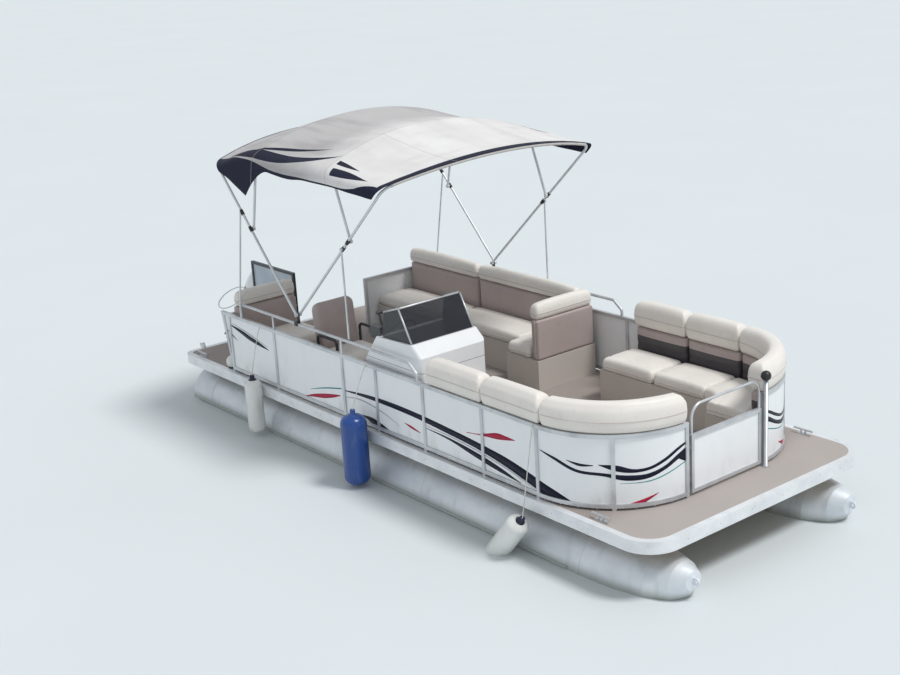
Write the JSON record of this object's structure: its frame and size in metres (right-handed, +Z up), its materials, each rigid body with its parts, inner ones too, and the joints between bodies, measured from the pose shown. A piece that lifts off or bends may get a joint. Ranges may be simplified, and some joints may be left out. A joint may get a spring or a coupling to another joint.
{
  "type": "pontoon boat",
  "caption": "Pontoon boat on two aluminium tubes with a railed lounge deck, a helm, a folding canopy on bows, two gates, a boarding ladder and a tilted outboard motor.",
  "frame": {"origin": "middle of the bounding box, on the ground under the keel strips", "axes": "+X to the bow, +Y to port, +Z up"},
  "size_m": [8.3519, 2.845, 3.4272],
  "materials": {
    "tube_aluminium": "brushed",
    "rail_aluminium": "satin",
    "deck_board": "sealed",
    "deck_carpet": "cut pile",
    "fence_panel": "gloss",
    "lounge_base": "grained",
    "cream_vinyl": "soft",
    "taupe_vinyl": "soft",
    "console_white": "gloss",
    "helm_dark": "satin",
    "tinted_screen": "clear",
    "stern_gate_dark": "satin",
    "gate_sheet": "frosted",
    "black_fitting": "satin",
    "canopy_cloth": "woven",
    "motor_white": "gloss",
    "propeller_dark": "satin",
    "fender_blue": "gloss",
    "fender_white": "gloss",
    "fender_line": "braided"
  },
  "bodies": {
    "hull": {"pontoon_starboard": "tube_aluminium", "pontoon_port": "tube_aluminium", "tube_brackets": "tube_aluminium", "cross_members": "tube_aluminium", "deck_board": "deck_board", "deck_carpet": "deck_carpet", "deck_trim": "rail_aluminium", "fence_frame_starboard": "rail_aluminium", "fence_frame_port": "rail_aluminium", "fence_panels_starboard": "fence_panel", "fence_panels_port": "fence_panel", "handrails": "rail_aluminium", "gate_hinges": "rail_aluminium", "bow_lounge_bases": "lounge_base", "bow_lounge_seats": "cream_vinyl", "bow_lounge_backs": "taupe_vinyl", "bow_lounge_rolls": "cream_vinyl", "aft_lounge_bases": "lounge_base", "aft_lounge_seats": "cream_vinyl", "aft_lounge_backs": "taupe_vinyl", "helm_console": "console_white", "helm_dash": "helm_dark", "throttle_control": "helm_dark", "helm_screen": "tinted_screen", "chair_pedestal": "rail_aluminium", "bimini_aft_bow": "rail_aluminium", "bimini_mounts": "black_fitting", "bimini_rear_braces": "rail_aluminium", "bimini_canopy": "canopy_cloth", "motor_pod": "tube_aluminium", "clamp_bracket": "motor_white", "ladder_brackets": "rail_aluminium", "mooring_cleats": "rail_aluminium", "fender_blue": "fender_blue", "fenders_white": "fender_white", "fender_lines": "fender_line"},
    "bow_gate": {"bow_gate_frame": "rail_aluminium", "bow_gate_panel": "fence_panel"},
    "stern_gate": {"stern_gate_frame": "stern_gate_dark", "stern_gate_panel": "gate_sheet", "stern_gate_foot": "black_fitting"},
    "helm_wheel": {"steering_wheel": "helm_dark"},
    "helm_chair": {"chair_frame": "helm_dark", "chair_cushions": "cream_vinyl"},
    "motor_swivel": {"swivel_bracket": "motor_white"},
    "motor_head": {"motor_leg": "motor_white", "motor_cowling": "motor_white"},
    "motor_propeller": {"propeller": "propeller_dark"},
    "ladder": {"boarding_ladder": "rail_aluminium"},
    "front_bow": {"bimini_front_bow": "rail_aluminium"},
    "front_hoop": {"bimini_front_hoop": "rail_aluminium"},
    "front_braces": {"bimini_front_braces": "rail_aluminium"},
    "aft_hoop": {"bimini_aft_hoop": "rail_aluminium"}
  },
  "joints": [
    {"name": "motor_tilt", "type": "hinge", "parent": "hull", "child": "motor_swivel", "pos_m": [-3.189, 0, 0.8], "axis": [0, 1, 0], "range_deg": [-40, 25]},
    {"name": "motor_steer", "type": "hinge", "parent": "motor_swivel", "child": "motor_head", "pos_m": [-3.24645, 0, 0.84821], "axis": [0.6428, 0, 0.766], "range_deg": [-30, 30]},
    {"name": "propeller_spin", "type": "hinge", "parent": "motor_head", "child": "motor_propeller", "pos_m": [-4.00715, 0, 0.4944], "axis": [0.766, 0, -0.6428], "continuous": true},
    {"name": "wheel_turn", "type": "hinge", "parent": "hull", "child": "helm_wheel", "pos_m": [0.47139, -0.8, 1.62388], "axis": [-0.784, 0, 0.6207], "range_deg": [-540, 540]},
    {"name": "bow_gate_swing", "type": "hinge", "parent": "hull", "child": "bow_gate", "pos_m": [3.593, -0.415, 1.14], "axis": [0, 0, 1], "range_deg": [0, 90]},
    {"name": "stern_gate_swing", "type": "hinge", "parent": "hull", "child": "stern_gate", "pos_m": [-1.881, -0.43, 1.27], "axis": [0, 0, 1], "range_deg": [-90, 0]},
    {"name": "ladder_fold", "type": "hinge", "parent": "hull", "child": "ladder", "pos_m": [-2.891, -0.86, 0.864], "axis": [0, 1, 0], "range_deg": [0, 270]},
    {"name": "chair_swivel", "type": "hinge", "parent": "hull", "child": "helm_chair", "pos_m": [-0.359, -0.8, 1.18], "axis": [0, 0, 1], "continuous": true},
    {"name": "bimini_fold", "type": "hinge", "parent": "hull", "child": "front_bow", "pos_m": [-0.569, 0, 1.69], "axis": [0, -1, 0], "range_deg": [0, 76], "deforming": ["bimini_canopy"]},
    {"name": "front_hoop_fold", "type": "hinge", "parent": "front_bow", "child": "front_hoop", "pos_m": [0.34512, 0, 2.52784], "axis": [0, -1, 0], "range_deg": [-56, 0]},
    {"name": "front_brace_swing", "type": "hinge", "parent": "front_bow", "child": "front_braces", "pos_m": [0.26403, 0, 2.45352], "axis": [0, -1, 0], "range_deg": [-47.5, 0]},
    {"name": "aft_hoop_fold", "type": "hinge", "parent": "hull", "child": "aft_hoop", "pos_m": [-1.24704, 0, 2.42502], "axis": [0, -1, 0], "range_deg": [0, 45]}
  ],
  "couplings": [
    {"joint": "wheel_turn", "follows": "motor_steer", "ratio": -18},
    {"joint": "front_hoop_fold", "follows": "bimini_fold", "ratio": -0.736},
    {"joint": "front_brace_swing", "follows": "bimini_fold", "ratio": -0.625},
    {"joint": "aft_hoop_fold", "follows": "bimini_fold", "ratio": 0.592}
  ]
}
